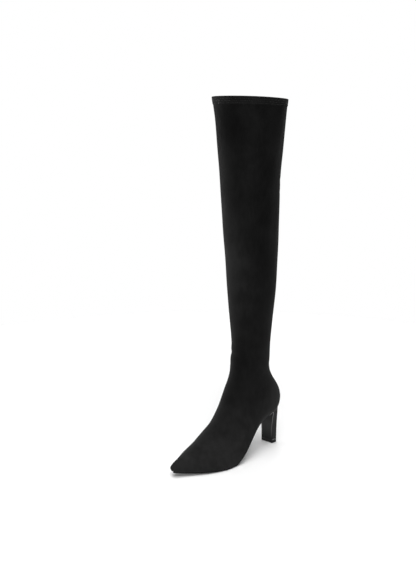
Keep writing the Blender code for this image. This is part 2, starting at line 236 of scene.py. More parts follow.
def outward(points, closed_from):
    """Unit normals of a grid of rings: (next column - last) x (next ring - last). From ring
    closed_from on, the first and last columns are the same line, so they look past it."""
    along_ring = np.empty_like(points)
    along_ring[:, 1:-1] = points[:, 2:] - points[:, :-2]
    along_ring[:, 0] = points[:, 1] - points[:, 0]
    along_ring[:, -1] = points[:, -1] - points[:, -2]
    past_seam = points[closed_from:, 1] - points[closed_from:, -2]
    along_ring[closed_from:, 0] = past_seam
    along_ring[closed_from:, -1] = past_seam
    normal = np.cross(along_ring, np.gradient(points, axis=0))
    return normal / np.maximum(np.linalg.norm(normal, axis=-1, keepdims=True), 1e-12)


def grid_faces(rows, columns, wrap=False):
    """Quads of a grid of vertices numbered row by row."""
    number = np.arange(rows * columns).reshape(rows, columns)
    if wrap:
        number = np.concatenate([number, number[:, :1]], axis=1)
    corners = [number[:-1, :-1], number[:-1, 1:], number[1:, 1:], number[1:, :-1]]
    return np.stack(corners, axis=-1).reshape(-1, 4)


SAME_POINT = 2e-6


def new_object(name, data):
    """An object in the scene, at the origin."""
    thing = bpy.data.objects.new(name, data)
    bpy.context.scene.collection.objects.link(thing)
    return thing


def make_piece(name, points, faces, material):
    """A finished mesh object from an array of points and an array of quads.

    Points on the same step of a SAME_POINT lattice are merged, so seams and poles close.
    """
    mesh = bpy.data.meshes.new(name)
    points = points.reshape(-1, 3)
    used, new_number = np.unique(np.round(points / SAME_POINT).astype(np.int64), axis=0,
                                 return_inverse=True)
    new_number = new_number.reshape(-1)
    first = np.full(len(used), len(points))
    np.minimum.at(first, new_number, np.arange(len(points)))
    # a quad with two merged corners is left as a triangle, and one with more merged is dropped
    corners = new_number[faces]
    keep = corners != np.roll(corners, -1, axis=1)
    counts = keep.sum(axis=1)
    good = counts > 2
    keep = keep & good[:, None]
    loops = corners[keep]
    sizes = counts[good]
    mesh.vertices.add(len(used))
    mesh.vertices.foreach_set("co", points[first].reshape(-1))
    mesh.loops.add(len(loops))
    mesh.loops.foreach_set("vertex_index", loops)
    mesh.polygons.add(len(sizes))
    mesh.polygons.foreach_set("loop_start", np.concatenate([[0], np.cumsum(sizes)[:-1]]))
    mesh.update(calc_edges=True)
    mesh.validate()
    mesh.materials.append(material)
    mesh.shade_smooth()
    return new_object(name, mesh)


HALF_COLUMNS = 92
RING_STEP = 0.0024
HEM_RING_STEP = 0.0006
FINE_RINGS_FROM = 1.35      # hem heights below the collar

around = np.linspace(-1, 1, 2 * HALF_COLUMNS + 1)


def distance_along(line):
    """Distance from the start of a line to each of its points."""
    steps = np.linalg.norm(np.diff(line, axis=0), axis=-1)
    return np.concatenate([0 * steps[:1], np.cumsum(steps, axis=0)])


def spaced_rows(step, hem_step):
    """Row numbers of rings that lie a step apart, or a hem step inside the turned hem."""
    fine = np.linspace(0, LAST_ROW, 4001)
    ends = upper_surface(fine, [0.0, 1.0])
    way = distance_along(ends).mean(axis=1)
    hem = way[-1] - FINE_RINGS_FROM * HEM_HEIGHT
    below = np.linspace(0, hem, round(hem / step) + 1)
    above = np.linspace(hem, way[-1], round((way[-1] - hem) / hem_step) + 1)
    rows = np.interp(np.concatenate([below, above[1:]]), way, fine)
    seat = np.argmin(np.abs(rows - FOOT_ROWS))
    rows[seat] = FOOT_ROWS
    return rows, seat


rows, seat_ring = spaced_rows(RING_STEP, HEM_RING_STEP)
skin = upper_surface(rows, around)
skin_normal = outward(skin, seat_ring)

# Distances over the skin: along each ring from its medial end, from the seam or sole edge, and
# down from the collar.
ring_way = distance_along(skin.swapaxes(0, 1)).T
ring_length = ring_way[:, -1:]
from_end = np.minimum(ring_way, ring_length - ring_way)
front_way = distance_along(skin[:, HALF_COLUMNS])
back_way = distance_along(skin[:, 0])
below_collar = (front_way[-1] - front_way)[:, None] * (1 - np.abs(around)) + \
    (back_way[-1] - back_way)[:, None] * np.abs(around)

# Soft folds: side (0 at the back seam, 180 at the front, positive on the outer side), height,
# tilt in degrees, half length, half width, depth.
FOLDS = np.array([
    (0, 0.478, 0, 0.040, 0.0060, 0.0009),
    (14, 0.462, 7, 0.030, 0.0050, 0.0006),
    (-20, 0.494, -6, 0.032, 0.0055, 0.0005),
    (170, 0.196, 3, 0.026, 0.0060, 0.0007),
    (-172, 0.178, -3, 0.030, 0.0065, 0.0008),
    (176, 0.160, 2, 0.026, 0.0060, 0.0005),
    (112, 0.172, -18, 0.022, 0.0060, 0.0005),
    (-112, 0.172, 18, 0.022, 0.0060, 0.0005),
    (8, 0.158, 4, 0.020, 0.0045, 0.0006),
    (-10, 0.142, -4, 0.020, 0.0045, 0.0004),
    (95, 0.110, -40, 0.030, 0.0080, 0.0004),
    (-95, 0.110, 40, 0.030, 0.0080, 0.0004),
    (150, 0.330, 78, 0.070, 0.0090, 0.0004),
    (-120, 0.400, 84, 0.080, 0.0100, 0.0004),
    (80, 0.420, 86, 0.080, 0.0110, 0.0003),
    (60, 0.560, 80, 0.050, 0.0100, 0.0004),
])


def fold_relief():
    """Depth of the folds: for each, depth exp(-(l/length)^2) (1.6 q^2 - 1) exp(-q^2), with l along
    the fold and q across it, so a trough lies between two low ridges."""
    relief = np.zeros(skin.shape[:2])
    for side, height, tilt, length, width, depth in FOLDS:
        # a fold's middle is found on each ring from its share of the half ring
        where = side / 180
        middle = np.where(where >= 0, ring_length * (1 - where / 2), -ring_length * where / 2)
        # the offset grows towards the lateral end on both sides of the seam
        offset = ring_way - middle
        offset = (offset + ring_length / 2) % ring_length - ring_length / 2
        rise = skin[..., 2] - height
        lean = math.radians(tilt)
        along = offset * math.cos(lean) + rise * math.sin(lean)
        across = (rise * math.cos(lean) - offset * math.sin(lean)) / width
        relief += depth * np.exp(-(along / length)**2) * (1.6 * across**2 - 1) * np.exp(-across**2)
    return relief


# The cloth is not drawn perfectly even over its filling, so the skin swells and sinks a little:
# size, waves round the leg, turn for each metre up it, and start.
SWAY = ((0.00022, 3, 31, 0.6), (0.00018, 5, -47, 2.1), (0.00012, 2, 83, 0.0))
side_angle = np.where(around < 0, -np.pi, np.pi) * (1 - np.abs(around))
sway = sum(size * np.sin(waves * side_angle + climb * skin[..., 2] + start)
           for size, waves, climb, start in SWAY)

# Folds and sway grow from nothing at the floor and at the collar to their whole size.
WHOLE_ABOVE = 0.2
WHOLE_BELOW_COLLAR = 0.03
settle = share_of(skin[..., 2], WHOLE_ABOVE) * share_of(below_collar, WHOLE_BELOW_COLLAR)

# A plain closed seam: the edges roll in, so it lies in a narrow furrow between low shoulders.
FURROW_DEPTH = 0.0007
FURROW_WIDTH = 0.0009
SHOULDER_HEIGHT = 0.00028
SHOULDER_WIDTH = 0.0016
SHOULDER_PLACE = 0.0030     # away from the seam
SEAM_STARTS_OVER = 1.5      # rows above the foot
on_shaft = share_of(rows - FOOT_ROWS, SEAM_STARTS_OVER)[:, None]
furrow = SHOULDER_HEIGHT * np.exp(-((from_end - SHOULDER_PLACE) / SHOULDER_WIDTH)**2) \
    - FURROW_DEPTH * np.exp(-(from_end / FURROW_WIDTH)**2)

# The hem is one more layer, with three rows of sunk stitching.
HEM_SLOPE = 0.0020          # height over which the step of the hem rises
STITCH_ROWS = (0.0030, 0.0062, 0.0094)
GROOVE_DEPTH = 0.00014
GROOVE_WIDTH = 0.0007
hem_share = share_of(HEM_HEIGHT - below_collar, HEM_SLOPE)
hem = HEM_STEP * (3 * hem_share**2 - 2 * hem_share**3)
for depth in STITCH_ROWS:
    hem = hem - GROOVE_DEPTH * np.exp(-((below_collar - depth) / GROOVE_WIDTH)**2)

SMOOTH_EDGE = 0.004         # the foot has no relief at the sole's edge, and all of it this far up
relief = fold_relief() * settle + sway * settle + furrow * on_shaft + hem
relief = relief * np.clip(from_end / SMOOTH_EDGE, on_shaft, 1)
skin = skin + relief[..., None] * skin_normal
skin[..., 2] = np.maximum(skin[..., 2], feather(SEAT_BACK - skin[..., 1]))
skin[seat_ring:, -1] = skin[seat_ring:, 0]
skin_normal = outward(skin, seat_ring)


def value_noise(tree, vector, scale, detail, name):
    """A noise on the given coordinates, its node named for what it stands for."""
    noise = tree.nodes.new("ShaderNodeTexNoise")
    noise.name = name
    noise.inputs["Scale"].default_value = scale
    noise.inputs["Detail"].default_value = detail
    tree.links.new(vector, noise.inputs["Vector"])
    return noise.outputs["Fac"]


def stretched(tree, vector, scale):
    """Coordinates scaled by a different factor on each axis."""
    mapping = tree.nodes.new("ShaderNodeMapping")
    mapping.inputs["Scale"].default_value = scale
    tree.links.new(vector, mapping.inputs["Vector"])
    return mapping.outputs["Vector"]


def remap(tree, value, low, high, to_low, to_high):
    """A value carried smoothly from one range to another."""
    node = tree.nodes.new("ShaderNodeMapRange")
    node.interpolation_type = "SMOOTHSTEP"
    for socket, number in zip(("From Min", "From Max", "To Min", "To Max"),
                              (low, high, to_low, to_high)):
        node.inputs[socket].default_value = number
    tree.links.new(value, node.inputs["Value"])
    return node.outputs["Result"]


COLOUR_A, COLOUR_B = 6, 7   # sockets of the Mix node that take its two colours
COLOUR_OUT = 2


def blend_colours(tree, factor, dark, light):
    """A colour between two colours, each of them a tuple or a socket."""
    node = tree.nodes.new("ShaderNodeMix")
    node.data_type = "RGBA"
    tree.links.new(factor, node.inputs["Factor"])
    for socket, colour in ((COLOUR_A, dark), (COLOUR_B, light)):
        if isinstance(colour, tuple):
            node.inputs[socket].default_value = (*colour, 1)
        else:
            tree.links.new(colour, node.inputs[socket])
    return node.outputs[COLOUR_OUT]


def toned(colour, factor):
    """A colour made darker or lighter."""
    return tuple(factor * c for c in colour)


def add_bump(tree, height, strength, distance, under=None):
    """A bump on top of another one."""
    bump = tree.nodes.new("ShaderNodeBump")
    bump.inputs["Strength"].default_value = strength
    bump.inputs["Distance"].default_value = distance
    tree.links.new(height, bump.inputs["Height"])
    if under is not None:
        tree.links.new(under, bump.inputs["Normal"])
    return bump.outputs["Normal"]


def new_material(name, even):
    """A material with its node tree and object coordinates. What is even all over it is given by
    the names of the shader's sockets."""
    material = bpy.data.materials.new(name)
    material.use_nodes = True
    tree = material.node_tree
    for socket, value in even.items():
        tree.nodes["Principled BSDF"].inputs[socket].default_value = value
    place = tree.nodes.new("ShaderNodeTexCoord").outputs["Object"]
    return material, tree, place


def finished(material, colour, roughness, normal):
    """The material, with what varies over it led into its shader."""
    tree = material.node_tree
    for socket, source in (("Base Color", colour), ("Roughness", roughness), ("Normal", normal)):
        tree.links.new(source, tree.nodes["Principled BSDF"].inputs[socket])
    return material


def grey(tone):
    """A neutral colour."""
    return (tone, tone, tone)


STROKE_SHARE = 0.45         # how much of the tone is in the strokes; the patches have the rest


def suede_material(name, dark, light):
    """Brushed nap: broad patches where the pile lies another way, strokes along the leg, and a
    fine fibre grain, all times the attribute nap_and_painted_light_tone, which also holds painted
    light and shade.
    The pile scatters light at its edges, which is the sheen."""
    material, tree, place = new_material(name, {
        "Specular IOR Level": 0.02, "Sheen Weight": 0.042, "Sheen Roughness": 0.45,
        "Sheen Tint": (0.8, 0.8, 0.8, 1)})
    patches = value_noise(tree, place, 26, 3, "pile_patches")
    strokes = value_noise(tree, stretched(tree, place, (1, 1, 0.5)), 120, 4, "brush_strokes")
    grain = value_noise(tree, place, 1500, 3, "fibre_grain")
    patch_mix = remap(tree, patches, 0.35, 0.65, 0, 1)
    stroke_mix = remap(tree, strokes, 0.35, 0.65, 0, 1)
    both = tree.nodes.new("ShaderNodeMix")
    both.inputs["Factor"].default_value = STROKE_SHARE
    tree.links.new(patch_mix, both.inputs["A"])
    tree.links.new(stroke_mix, both.inputs["B"])
    pile = blend_colours(tree, both.outputs["Result"], dark, light)
    speck = remap(tree, grain, 0.3, 0.7, 0.0, 0.3)
    colour = blend_colours(tree, speck, pile, toned(light, 1.2))
    tone_with_painted_light = tree.nodes.new("ShaderNodeAttribute")
    tone_with_painted_light.attribute_name = "nap_and_painted_light_tone"
    scaled = tree.nodes.new("ShaderNodeVectorMath")
    scaled.operation = "SCALE"
    tree.links.new(colour, scaled.inputs[0])
    tree.links.new(tone_with_painted_light.outputs["Fac"], scaled.inputs["Scale"])
    nap = add_bump(tree, strokes, 0.25, 0.0006)
    return finished(material, scaled.outputs[0], remap(tree, strokes, 0.3, 0.7, 0.82, 0.98),
                    add_bump(tree, grain, 0.35, 0.0002, nap))


suede = suede_material("brushed_black_suede", grey(0.0035), grey(0.0070))

# The collar's rim, as depth into the wall and drop: round the top, then down inside as the
# turned cloth, to its cut edge.
TURNED_IN = 0.0006          # how far the turned cloth stands out on the inside
CUT_EDGE = 0.0003           # how much its cut edge is rounded
rim_radius = (SUEDE + HEM_STEP + TURNED_IN) / 2
rim_angles = np.radians([30, 60, 90, 120, 150, 180])
rim = [(rim_radius * (1 - math.cos(a)), -rim_radius * math.sin(a)) for a in rim_angles]
rim += [(2 * rim_radius, drop) for drop in (0.003, 0.006, 0.009, 0.0115)]
rim += [(2 * rim_radius - CUT_EDGE, HEM_HEIGHT), (SUEDE, HEM_HEIGHT + 0.0001)]


def upper_wall(outer, normal, closed_from, thickness, kept, rim, toe):
    """Points and quads of a closed wall: skin, rim, and an inner face at skin - t normal that has
    only the kept rings.

    Along the foot the skin's edges are joined to the inner face's edges by the bottom of the
    wall, and at the toe both faces close on a pole.
    """
    columns = outer.shape[1]
    inner = outer[kept] - thickness * normal[kept]
    inner[..., 2] = np.maximum(inner[..., 2], feather(SEAT_BACK - inner[..., 1]))
    down = outer[-2] - outer[-1]
    down = down / np.linalg.norm(down, axis=-1, keepdims=True)
    over = np.array([outer[-1] - depth * normal[-1] + drop * down for depth, drop in rim])
    pole = np.broadcast_to(toe, (1, columns, 3))
    sheet = np.concatenate([pole, outer, over, inner[::-1], pole + np.array([0, thickness, 0])])
    closed = np.ones(len(sheet), bool)
    closed[:closed_from + 1] = False
    closed[len(sheet) - closed_from - 1:] = False
    sheet[closed, -1] = sheet[closed, 0]
    faces = [grid_faces(len(sheet), columns)]
    ring = np.arange(closed_from + 2)
    for column in (0, columns - 1):
        skin_edge = ring * columns + column
        inner_edge = (len(sheet) - 1 - ring) * columns + column
        quad = np.stack([skin_edge[:-1], skin_edge[1:], inner_edge[1:], inner_edge[:-1]], axis=-1)
        faces.append(quad if column == 0 else quad[:, ::-1])
    return sheet, np.concatenate(faces)


# Soft spots of tone, partly nap laid flat (darker) or raised (paler) and partly painted light and
# shade: a paler shin and heel counter, and darker pile along the outer back of the shaft and near
# the collar. Columns: x, y, height, radius and the change of tone at the middle.
NAP_AND_PAINTED_LIGHT_SPOTS = np.array([
    (-0.017, 0.003, 0.572, 0.040, -0.90), (0.006, 0.016, 0.349, 0.027, 0.81),
    (0.049, 0.065, 0.430, 0.040, -0.49), (0.055, 0.070, 0.558, 0.027, -0.70),
    (0.042, 0.081, 0.105, 0.027, 0.58), (0.007, 0.025, 0.175, 0.040, -0.26),
    (0.046, 0.063, 0.338, 0.040, -0.38), (0.015, 0.021, 0.303, 0.020, 0.50),
    (0.052, 0.060, 0.499, 0.022, -0.45), (-0.003, -0.098, 0.029, 0.012, 0.39),
    (0.008, 0.013, 0.396, 0.018, 0.43), (0.014, 0.026, 0.262, 0.020, 0.40),
    (0.058, 0.073, 0.596, 0.018, -0.90), (0.043, 0.063, 0.275, 0.027, -0.30),
])
DARKEST = 0.05
# Painted light on the foot: its pile is made paler, fully below the first height and not above the
# second.
FOOT_PAINTED_LIGHT = 2.0
PAINTED_LIGHT_FULL_BELOW, PAINTED_LIGHT_NONE_ABOVE = 0.040, 0.105
# The pile of the doubled cloth of the hem is made paler.
HEM_PALENESS = 1.6
HEM_PALES_OVER = 0.001
collar_ring = skin[-1]
collar_plane = np.linalg.lstsq(np.column_stack([np.ones(len(collar_ring)), collar_ring[:, :2]]),
                               collar_ring[:, 2], rcond=None)[0]


def nap_and_painted_light_tone(points):
    """Tone of the pile, nap tone and painted light and shade: 1 plus, for each spot, its change
    times exp(-(distance / radius)^2), all times the painted light on the foot, which grows
    linearly downwards to FOOT_PAINTED_LIGHT, and the paling of the hem, between the collar's plane
    and HEM_HEIGHT under it."""
    away = np.linalg.norm(points[:, None] - NAP_AND_PAINTED_LIGHT_SPOTS[:, :3], axis=2)
    change = NAP_AND_PAINTED_LIGHT_SPOTS[:, 4] * np.exp(-(away / NAP_AND_PAINTED_LIGHT_SPOTS[:, 3]) ** 2)
    # painted light: the foot's pile grows paler towards the floor
    rub_and_painted_light = np.interp(points[:, 2], (PAINTED_LIGHT_FULL_BELOW, PAINTED_LIGHT_NONE_ABOVE), (FOOT_PAINTED_LIGHT, 1.0))
    under_collar = collar_plane[0] + points[:, :2] @ collar_plane[1:] - points[:, 2]
    in_hem = np.interp(under_collar, (HEM_HEIGHT - HEM_PALES_OVER, HEM_HEIGHT),
                       (HEM_PALENESS, 1.0))
    return np.maximum(1 + change.sum(axis=1), DARKEST) * rub_and_painted_light * in_hem


def tone_points(piece, name, tone):
    """An attribute of a piece, with the tone worked out at each of its points."""
    points = np.empty(3 * len(piece.data.vertices))
    piece.data.vertices.foreach_get("co", points)
    values = tone(points.reshape(-1, 3))
    piece.data.attributes.new(name, "FLOAT", "POINT").data.foreach_set("value", values)


HEM_RINGS = 8               # rings under the collar that the inside leaves out
INNER_STEP = 3              # of the shaft's other rings it has one in this many
toe_tip = skin[0].mean(axis=0)
toe_tip[1] = SEAT_BACK - LENGTH
inner_rings = np.concatenate([np.arange(seat_ring),
                              np.arange(seat_ring, len(skin) - HEM_RINGS, INNER_STEP)])
upper = make_piece("suede_upper", *upper_wall(skin, skin_normal, seat_ring, SUEDE, inner_rings,
                                              rim, toe_tip), suede)
# the suede's tone: nap, with painted light on the foot and painted light and shade in soft spots
tone_points(upper, "nap_and_painted_light_tone", nap_and_painted_light_tone)
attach(upper, "root")
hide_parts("upper")

# ---- Lining ------------------------------------------------------------------------------
# Thin black knit behind the suede, from the turned hem down to the insole, laid in with the
# upper when it is lasted.
LINING = 0.0005
LINING_GAP = 0.0001         # suede to lining; they still cut at the sole line and heel
LINING_TOP = 0.0128         # below the collar
TOE_RINGS_LEFT = 4          # the lining stops short of the tip

# the lining has all rings of the foot, every second one of the shaft, and every second column
lined = np.flatnonzero(below_collar.min(axis=1) > LINING_TOP)[TOE_RINGS_LEFT:]
lined = np.concatenate([lined[lined <= seat_ring], lined[lined > seat_ring][1::2]])
lining_skin = (skin - (SUEDE + LINING_GAP) * skin_normal)[lined][:, ::2]
lining_skin[..., 2] = np.maximum(lining_skin[..., 2], feather(SEAT_BACK - lining_skin[..., 1]))
lining_normal = skin_normal[lined][:, ::2]
lining_seat = int(np.flatnonzero(lined == seat_ring)[0])


def knit_material(name, dark, light):
    """Fine weft knit: ribs across the leg, a fuzz of fibres and a broad uneven shade."""
    material, tree, place = new_material(name, {
        "Specular IOR Level": 0.2, "Sheen Weight": 0.05, "Sheen Roughness": 0.5})
    ribs = tree.nodes.new("ShaderNodeTexWave")
    ribs.inputs["Scale"].default_value = 210
    ribs.inputs["Distortion"].default_value = 1.5
    ribs.inputs["Detail"].default_value = 2
    ribs.bands_direction = "Z"
    tree.links.new(place, ribs.inputs["Vector"])
    fuzz = value_noise(tree, place, 700, 4, "knit_fuzz")
    shade = value_noise(tree, place, 30, 3, "knit_shade")
    base = blend_colours(tree, remap(tree, shade, 0.35, 0.65, 0, 1), dark, light)
    colour = blend_colours(tree, remap(tree, fuzz, 0.4, 0.75, 0, 0.5), base, toned(light, 1.8))
    rib = add_bump(tree, ribs.outputs["Fac"], 0.4, 0.0003)
    return finished(material, colour, remap(tree, fuzz, 0.3, 0.7, 0.8, 0.95),
                    add_bump(tree, fuzz, 0.4, 0.0002, rib))


knit = knit_material("black_knit_lining", (0.009, 0.009, 0.010), (0.017, 0.017, 0.018))
lining = make_piece("knit_lining", *upper_wall(
    lining_skin, lining_normal, lining_seat, LINING, np.arange(len(lining_skin)),
    [(LINING / 2, -LINING_GAP)], lining_skin[0].mean(axis=0)), knit)
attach(lining, "root")

# ---- Hem stitching -----------------------------------------------------------------------
# Three rows of lockstitch that hold the turned hem, in black polyester thread, each stitch sunk
# a little into the suede.
STITCH_PITCH = 0.0030
STITCH_LENGTH = 0.0023
THREAD_RADIUS = 0.00026
STITCH_BOW = 0.00028        # from the ends of a stitch up to its middle
SUNK_SHARE = 0.7            # of the bow that lies in the cloth
STITCH_RINGS = 5
STITCH_SIDES = 6


def stitches_along(line, normal):
    """Small capsules in a row: for stitch i and share t of its length, the centre is on the line
    and the radius is r sqrt(1 - (2t - 1)^4), with the ends drawn down into the cloth."""
    way = distance_along(line)
    count = int(way[-1] // STITCH_PITCH)
    t = np.linspace(0, 1, STITCH_RINGS)
    at = ((np.arange(count) + 0.5) * way[-1] / count)[:, None] + (t - 0.5) * STITCH_LENGTH
    bow = 1 - (2 * t - 1)**4

    def on_line(values):
        return np.stack([np.interp(at, way, values[:, axis]) for axis in range(3)], axis=-1)

    up = on_line(normal)
    centre = on_line(line) + up * (STITCH_BOW * (bow - SUNK_SHARE))[None, :, None]
    ahead = np.gradient(centre, axis=1)
    ahead = ahead / np.linalg.norm(ahead, axis=-1, keepdims=True)
    side = np.cross(up, ahead)
    turn = np.linspace(0, 2 * np.pi, STITCH_SIDES, endpoint=False)
    radius = (THREAD_RADIUS * np.sqrt(np.maximum(bow, 0.05)))[None, :, None, None]
    ring = (np.cos(turn)[:, None] * side[:, :, None] + np.sin(turn)[:, None] * up[:, :, None])
    points = centre[:, :, None] + radius * ring
    ends = np.stack([centre[:, 0], centre[:, -1]], axis=1)[:, :, None]
    ends = np.broadcast_to(ends, (count, 2, STITCH_SIDES, 3))
    return np.concatenate([ends[:, :1], points, ends[:, 1:]], axis=1)


def thread_material(name, colour):
    """Twisted polyester: a fine uneven twist, slightly glossy."""
    material, tree, place = new_material(name, {"Specular IOR Level": 0.2})
    twist = value_noise(tree, stretched(tree, place, (1, 1, 2.5)), 2600, 2, "twist")
    return finished(
        material, blend_colours(tree, twist, toned(colour, 0.6), toned(colour, 1.5)),
        remap(tree, twist, 0.3, 0.7, 0.45, 0.65), add_bump(tree, twist, 0.3, 0.0001))


thread = thread_material("black_thread", grey(0.009))
stitches = []
ring_depth = below_collar.mean(axis=1)
for depth in STITCH_ROWS:
    at = np.interp(-depth, -ring_depth, np.arange(len(rows)))
    ring, share = int(at), at - int(at)
    line = skin[ring] * (1 - share) + skin[ring + 1] * share
    normal = skin_normal[ring] * (1 - share) + skin_normal[ring + 1] * share
    stitches.append(stitches_along(line, normal))
stitches = np.concatenate(stitches)
one_stitch = grid_faces(STITCH_RINGS + 2, STITCH_SIDES, wrap=True)
first_points = (STITCH_RINGS + 2) * STITCH_SIDES * np.arange(len(stitches))[:, None, None]
hem_thread = make_piece("hem_stitches", stitches, (one_stitch + first_points).reshape(-1, 4),
                        thread)
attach(hem_thread, "root")

# ---- Outsole -----------------------------------------------------------------------------
# Thin moulded rubber sole, cemented on, running from the toe through the arch over the heel
# seat, with a burnished edge and fine ribs under the ball of the foot.
OUTLINE_COLUMNS = 720
SPINE_INSET = 0.010
RIB_PITCH = 0.0042
RIB_DEPTH = 0.0003
RIBS_FROM, RIBS_TO = 0.44, 0.93         # shares of the length
RIBS_INSIDE = 0.88                      # share of the way from the spine to the edge


def sole_edge(margin, columns):
    """Closed outline, grown by a margin along its plan normal: x and station, with the spine
    point that each column is drawn to."""
    turn = np.linspace(0, 2 * np.pi, columns, endpoint=False)
    share = (1 - np.cos(turn)) / 2
    station = LENGTH * share
    medial, lateral = outline(station)
    x = np.where(turn <= np.pi, lateral, medial)
    dx = np.roll(x, -1) - np.roll(x, 1)
    ds = np.roll(station, -1) - np.roll(station, 1)
    size = np.hypot(dx, ds)
    edge = np.stack([x + margin * ds / size, station - margin * dx / size], axis=-1)
    spine_station = SPINE_INSET + (LENGTH - 2 * SPINE_INSET) * share
    spine = np.stack([sum(outline(spine_station)) / 2, spine_station], axis=-1)
    return edge, spine


def sole_plate(name, profile, columns, material, relief=None):
    """A plate along the sole line: each profile row (share, inset, height) is the point
    spine + share (edge inset by inset - spine), at that height over the underside."""
    rows = []
    for share, inset, height in profile:
        edge, spine = sole_edge(-inset, columns)
        plan = spine + share * (edge - spine)
        lift = height + (relief(plan, share) if relief and height == 0 else 0)
        rows.append(row_frame(plan[:, 0], plan[:, 1], underside(plan[:, 1]) + lift))
    return make_piece(name, np.array(rows), grid_faces(len(rows), columns, wrap=True), material)


def tread(plan, share):
    """Fine ribs across the forefoot, kept clear of the edge."""
    station = plan[:, 1] / LENGTH
    along = share_of(station - RIBS_FROM, 0.02) * share_of(RIBS_TO - station, 0.02)
    across = share_of(RIBS_INSIDE - share, 0.04)
    return along * across * RIB_DEPTH * (0.5 - 0.5 * np.cos(2 * np.pi * plan[:, 1] / RIB_PITCH))


def rubber_material(name, dark, light, roughness):
    """Moulded rubber: a slight mould grain, clouds of dust, and a rubbed gloss that varies."""
    material, tree, place = new_material(name, {"Specular IOR Level": 0.06})
    cloud = value_noise(tree, place, 60, 4, "dust")
    pebble = value_noise(tree, place, 1200, 3, "mould_grain")
    rub_and_painted_light = value_noise(tree, stretched(tree, place, (1, 0.2, 1)), 300, 3, "rub_and_painted_light")
    return finished(
        material, blend_colours(tree, remap(tree, cloud, 0.35, 0.7, 0, 1), dark, light),
        remap(tree, rub_and_painted_light, 0.3, 0.7, roughness - 0.08, roughness + 0.1),
        add_bump(tree, pebble, 0.3, 0.0002))


rubber = rubber_material("black_sole_rubber", grey(0.004), grey(0.008), 0.5)
EDGE_ROUND = 0.0006         # radius of the sole's edge
EDGE_WIDTH = 0.0012         # of the whole edge, up to the flat faces
MID_ROUND = 0.3             # of the radius: how far a quarter round's middle is off its tangents
# the flat top, its rounded edge, the edge's lower bevel, and the underside
sole_profile = [(share, EDGE_WIDTH, SOLE_THICKNESS) for share in (0.0, 0.35, 0.7, 0.9, 1.0)]
sole_profile += [
    (1, EDGE_ROUND, SOLE_THICKNESS),
    (1, MID_ROUND * EDGE_ROUND, SOLE_THICKNESS - MID_ROUND * EDGE_ROUND),
    (1, 0.0, SOLE_THICKNESS - EDGE_ROUND), (1, 0.0, 0.0010),
    (1, MID_ROUND * EDGE_ROUND, 0.0004), (1, EDGE_ROUND, 0.0001)]
sole_profile += [(share, EDGE_WIDTH, 0.0) for share in np.linspace(1, 0, 30)]
sole_profile = [(share, SOLE_INSET + inset, height) for share, inset, height in sole_profile]
outsole = sole_plate("moulded_sole", sole_profile, OUTLINE_COLUMNS, rubber, tread)
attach(outsole, "root")
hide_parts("outsole")

# ---- Insole ------------------------------------------------------------------------------
# Board cut to the bottom of the last, with a thin knit sock over a little foam glued on, seen
# only down the shaft.
INSOLE_INSET = 0.0033
INSOLE_THICKNESS = 0.002
SOCK_CROWN = 0.0004         # the foam makes the middle higher by this much
SOCK_ROUND = 0.0008         # radius of the edge
sock_low = SOLE_THICKNESS + GAP
sock_high = sock_low + INSOLE_THICKNESS
sock_profile = [(share, INSOLE_INSET + SOCK_ROUND, sock_high + SOCK_CROWN * (1 - share**2))
                for share in np.linspace(0, 1, 12)]
sock_profile += [(1, INSOLE_INSET + 0.0003, sock_high - 0.0003),
                 (1, INSOLE_INSET, sock_high - SOCK_ROUND), (1, INSOLE_INSET, sock_low)]
sock_profile += [(share, INSOLE_INSET + SOCK_ROUND, sock_low) for share in (0.9, 0.5, 0.0)]
insole = sole_plate("insole_sock", sock_profile, OUTLINE_COLUMNS // 3, knit)
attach(insole, "root")
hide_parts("insole")

# ---- Heel block --------------------------------------------------------------------------
# Moulded blade with a black gloss lacquer, screwed up through the heel seat: nearly straight
# below, flared forward under the arch and out to the width of the seat.
TIP_HEIGHT = 0.006
# Height, back, front, half width, corner radius. The last row follows the sole's underside.
HEEL = np.array([
    (TIP_HEIGHT, 0.0029, 0.0147, 0.0129, 0.0008),
    (0.0200, 0.0030, 0.0149, 0.0132, 0.0009),
    (0.0380, 0.0030, 0.0154, 0.0139, 0.0013),
    (0.0500, 0.0028, 0.0168, 0.0150, 0.0022),
    (0.0580, 0.0024, 0.0202, 0.0163, 0.0040),
    (0.0670, 0.0020, 0.0260, 0.0178, 0.0070),
])
CORNER_POINTS = 9
SIDE_POINTS = 40
HEEL_RINGS = 100
CAP_SHARES = (0, 0.5, 0.97)             # sizes of the rings that close an end


def rounded_plan(back, front, half, corner):
    """Rounded rectangles in plan: four quarter circles joined by straight sides, for arrays of
    sizes. Gives x and station with one more axis for the way round."""
    angle = np.radians(np.concatenate([np.linspace(first, first + 90, CORNER_POINTS)
                                       for first in (-90, 0, 90, 180)]))
    sign_x = np.repeat([1, 1, -1, -1], CORNER_POINTS)
    ahead = np.repeat([0, 1, 1, 0], CORNER_POINTS)
    back, front, half, corner = (np.asarray(size, float)[..., None]
                                 for size in (back, front, half, corner))
    x = sign_x * (half - corner) + corner * np.cos(angle)
    station = np.where(ahead, front - corner, back + corner) + corner * np.sin(angle)
    # the straight sides get points between the end of one corner and the start of the next
    step = np.arange(4 * CORNER_POINTS).reshape(4, CORNER_POINTS)
    side = step[:, -1:] + np.arange(1, SIDE_POINTS) / SIDE_POINTS
    at = np.concatenate([step, side], axis=1).reshape(-1)
    low = at.astype(int)
    share = at - low
    high = (low + 1) % (4 * CORNER_POINTS)
    return x[..., low] * (1 - share) + x[..., high] * share, \
        station[..., low] * (1 - share) + station[..., high] * share


def level(points):
    """Height of a flat end: that of its points."""
    return points[:, 2]


def under_sole(points):
    """Height of the heel seat over each point."""
    return underside(SEAT_BACK - points[:, 1]) - GAP


